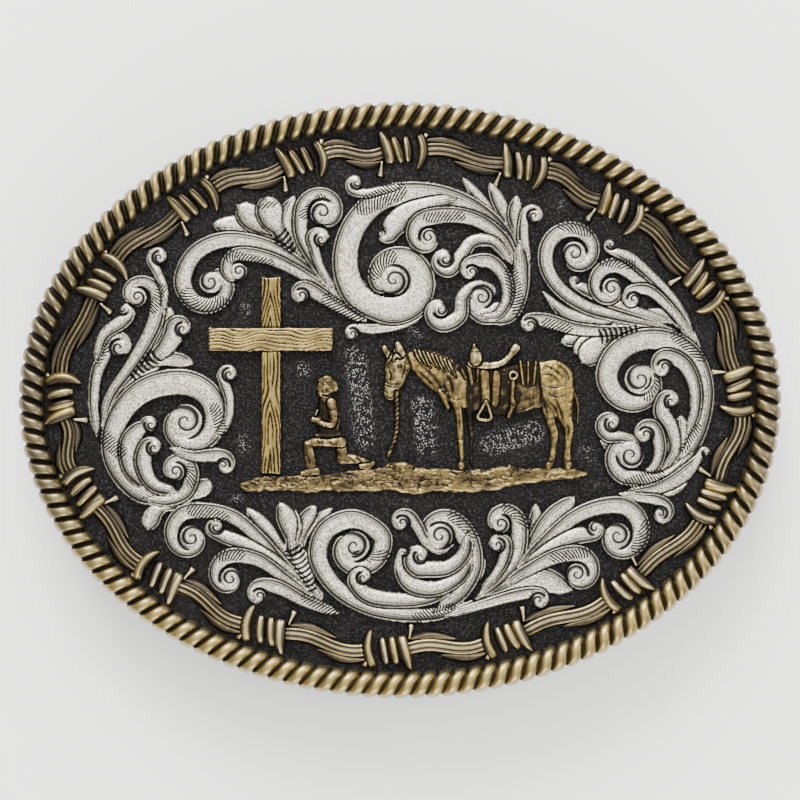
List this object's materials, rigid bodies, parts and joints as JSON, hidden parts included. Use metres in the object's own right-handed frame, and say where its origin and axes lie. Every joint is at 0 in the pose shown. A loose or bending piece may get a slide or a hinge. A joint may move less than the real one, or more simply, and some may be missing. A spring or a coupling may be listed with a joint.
{
  "type": "western belt buckle",
  "caption": "Oval western belt buckle with a rope edge, barbed wire ring, engraved scrolls, and a cross, kneeling rider and saddled horse; belt loop and hook behind.",
  "frame": {"origin": "under the middle of the oval, on the surface that the buckle lies on", "axes": "+Z the way the face looks, +X to the right in the front view and along the belt, +Y up in the front view"},
  "size_m": [0.1016, 0.079, 0.0144],
  "materials": {
    "antique_plate": "blackened, stippled",
    "aged_brass": "antiqued",
    "engraved_silver": "satin, engraved",
    "gold_brass": "satin, antiqued in the hollows",
    "plain_fitting": "satin"
  },
  "bodies": {
    "root": {"plate": "antique_plate", "rope_edge": "aged_brass", "barbed_wire": "aged_brass", "scroll_top": "engraved_silver", "scroll_right": "engraved_silver", "scroll_bottom": "engraved_silver", "scroll_left": "engraved_silver", "cross": "gold_brass", "ground": "gold_brass", "kneeling_figure": "gold_brass", "horse": "gold_brass", "belt_loop": "plain_fitting", "hook_post": "plain_fitting"}
  },
  "joints": []
}
